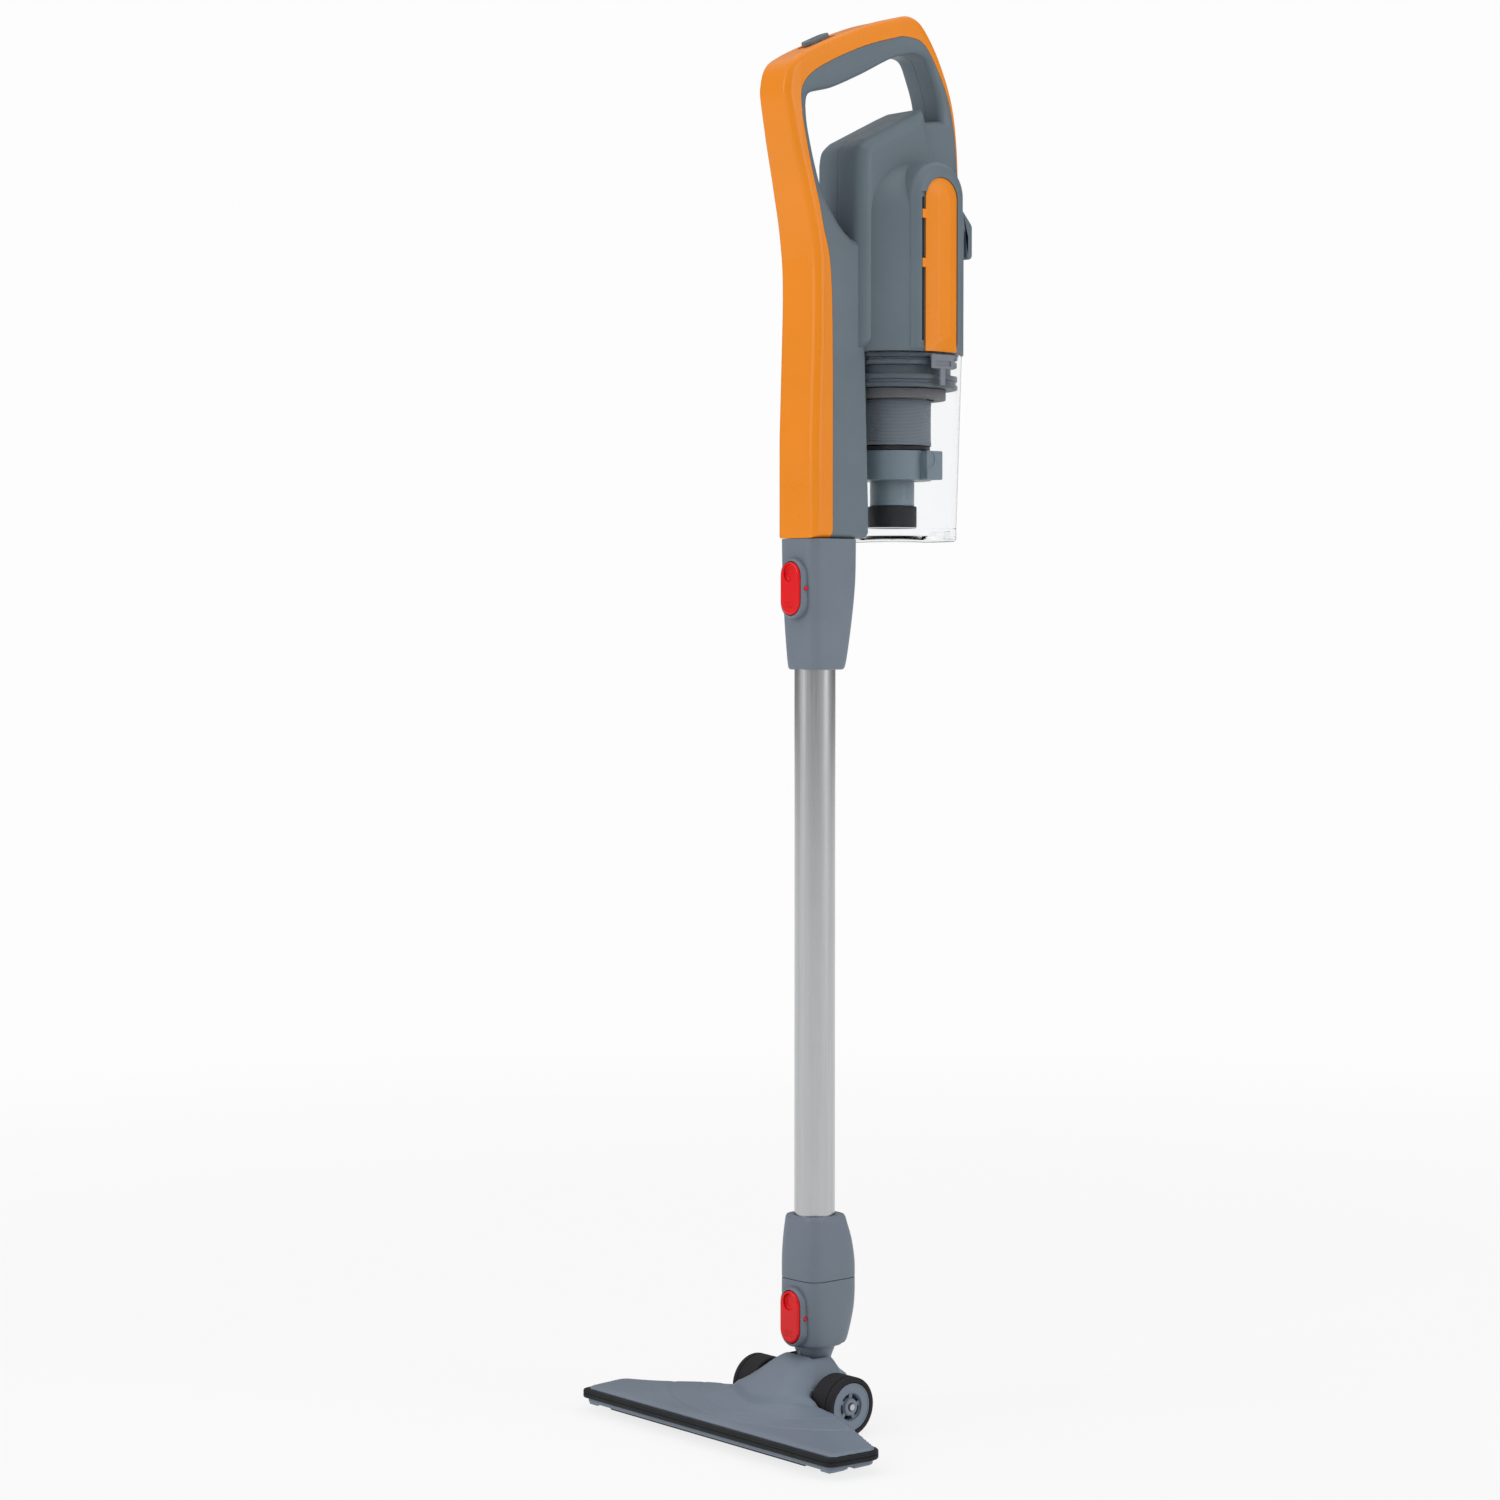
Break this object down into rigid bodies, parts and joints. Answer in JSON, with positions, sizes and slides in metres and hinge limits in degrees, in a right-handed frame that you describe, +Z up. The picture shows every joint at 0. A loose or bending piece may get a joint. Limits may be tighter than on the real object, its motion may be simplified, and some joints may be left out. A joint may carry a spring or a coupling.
{
  "type": "upright stick vacuum cleaner",
  "caption": "Upright stick vacuum cleaner: wheeled floor head on a pitching, swivelling neck, bare metal wand and a handheld unit with loop handle and clear dust cup.",
  "frame": {"origin": "centre of the bounding box in plan, on the floor under the wheels and the head's feet", "axes": "+Z up along the wand, -Y where the floor head points, +Y towards the user, +X to the user's left"},
  "size_m": [0.305, 0.274, 1.105],
  "materials": {
    "head_grey": "satin moulded",
    "body_grey": "satin moulded",
    "dark_grey": "satin moulded",
    "accent_orange": "semi-gloss moulded",
    "latch_red": "semi-gloss moulded",
    "bumper_black": "soft matte",
    "tyre_black": "fine matte tread",
    "trim_black": "matte",
    "lint_fabric": "short directional pile",
    "tube_alloy": "satin drawn, fine lines along the tube",
    "steel": "brushed",
    "motor_can": "zinc-coated",
    "clear_cup": "clear polished plastic",
    "filter_mesh": "fine woven mesh",
    "filter_paper": "pleated paper",
    "circuit_green": "solder-masked board"
  },
  "bodies": {
    "floor_head": {"head_top_shell": "head_grey", "head_sole_plate": "head_grey", "head_bumper": "bumper_black", "lint_strip_front": "lint_fabric", "lint_strip_rear": "lint_fabric", "sole_screw_1": "steel", "sole_screw_2": "steel", "sole_screw_3": "steel", "sole_screw_4": "steel", "axle_left": "steel", "axle_right": "steel", "neck_pin_left": "steel", "neck_pin_right": "steel"},
    "wheel_left": {"wheel_rim_left": "head_grey", "wheel_tyre_left": "tyre_black"},
    "wheel_right": {"wheel_rim_right": "head_grey", "wheel_tyre_right": "tyre_black"},
    "neck": {"neck_elbow": "body_grey"},
    "head_socket": {"head_socket": "body_grey", "lower_button_pin": "latch_red"},
    "lower_button": {"lower_button": "latch_red"},
    "wand": {"wand_tube": "tube_alloy", "wand_collar": "body_grey"},
    "handheld": {"wand_socket": "body_grey", "upper_button_pin": "latch_red", "front_cover": "accent_orange", "body_shell_left": "body_grey", "body_shell_right": "body_grey", "side_panel_left": "accent_orange", "side_panel_right": "accent_orange", "exhaust_grille_left": "trim_black", "exhaust_grille_right": "trim_black", "switch_body": "trim_black", "cord_hook": "body_grey", "cord_gland": "bumper_black", "motor": "motor_can", "motor_mount_ring": "bumper_black", "fan_shroud": "dark_grey", "inlet_duct": "dark_grey", "control_board": "circuit_green"},
    "upper_button": {"upper_button": "latch_red"},
    "power_slider": {"power_slider": "body_grey"},
    "fan": {"fan": "motor_can"},
    "dust_cup": {"cup_wall": "clear_cup", "filter_collar": "dark_grey", "filter_seal": "bumper_black", "filter_mesh": "filter_mesh", "filter_pleats": "filter_paper", "cyclone_guide": "body_grey", "filter_seam_ring": "bumper_black", "filter_boot": "bumper_black"},
    "cup_lid": {"cup_lid": "clear_cup"},
    "cup_clip_left": {"cup_clip_left": "dark_grey"},
    "cup_clip_right": {"cup_clip_right": "dark_grey"}
  },
  "joints": [
    {"name": "wheel_left_spin", "type": "hinge", "parent": "floor_head", "child": "wheel_left", "pos_m": [0.0465, -0.032, 0.023], "axis": [1, 0, 0], "continuous": true},
    {"name": "wheel_right_spin", "type": "hinge", "parent": "floor_head", "child": "wheel_right", "pos_m": [-0.0465, -0.032, 0.023], "axis": [1, 0, 0], "continuous": true},
    {"name": "neck_pitch", "type": "hinge", "parent": "floor_head", "child": "neck", "pos_m": [0, -0.019, 0.034], "axis": [-1, 0, 0], "range_deg": [0, 80]},
    {"name": "head_swivel", "type": "hinge", "parent": "neck", "child": "head_socket", "pos_m": [0, -0.019, 0.061], "axis": [0, 0, 1], "range_deg": [-80, 80]},
    {"name": "lower_button_press", "type": "hinge", "parent": "head_socket", "child": "lower_button", "pos_m": [0, -0.0405, 0.0855], "axis": [-1, 0, 0], "range_deg": [0, 4], "stiffness_Nm_per_rad": 0.6, "springref_deg": -1.15},
    {"name": "wand_release", "type": "slide", "parent": "head_socket", "child": "wand", "axis": [0, 0, 1], "range_m": [0, 0.06]},
    {"name": "handheld_release", "type": "slide", "parent": "wand", "child": "handheld", "axis": [0, 0, 1], "range_m": [0, 0.08]},
    {"name": "upper_button_press", "type": "hinge", "parent": "handheld", "child": "upper_button", "pos_m": [0, -0.0405, 0.654], "axis": [-1, 0, 0], "range_deg": [0, 4], "stiffness_Nm_per_rad": 0.6, "springref_deg": -1.15},
    {"name": "power_slide", "type": "slide", "parent": "handheld", "child": "power_slider", "axis": [0, 0.9135, 0.4067], "range_m": [0, 0.008]},
    {"name": "fan_spin", "type": "hinge", "parent": "handheld", "child": "fan", "pos_m": [0, 0.063, 0.87], "axis": [0, 0, 1], "continuous": true},
    {"name": "cup_release", "type": "slide", "parent": "handheld", "child": "dust_cup", "axis": [0, 0.1045, -0.9945], "range_m": [0, 0.15]},
    {"name": "cup_lid_hinge", "type": "hinge", "parent": "dust_cup", "child": "cup_lid", "pos_m": [0, 0.1172, 0.697], "axis": [1, 0, 0], "range_deg": [0, 85]},
    {"name": "cup_clip_left_press", "type": "hinge", "parent": "handheld", "child": "cup_clip_left", "pos_m": [0.0575, 0.063, 0.835], "axis": [0, -1, 0], "range_deg": [0, 12], "stiffness_Nm_per_rad": 0.3, "springref_deg": -1.15},
    {"name": "cup_clip_right_press", "type": "hinge", "parent": "handheld", "child": "cup_clip_right", "pos_m": [-0.0575, 0.063, 0.835], "axis": [0, 1, 0], "range_deg": [0, 12], "stiffness_Nm_per_rad": 0.3, "springref_deg": -1.15}
  ]
}
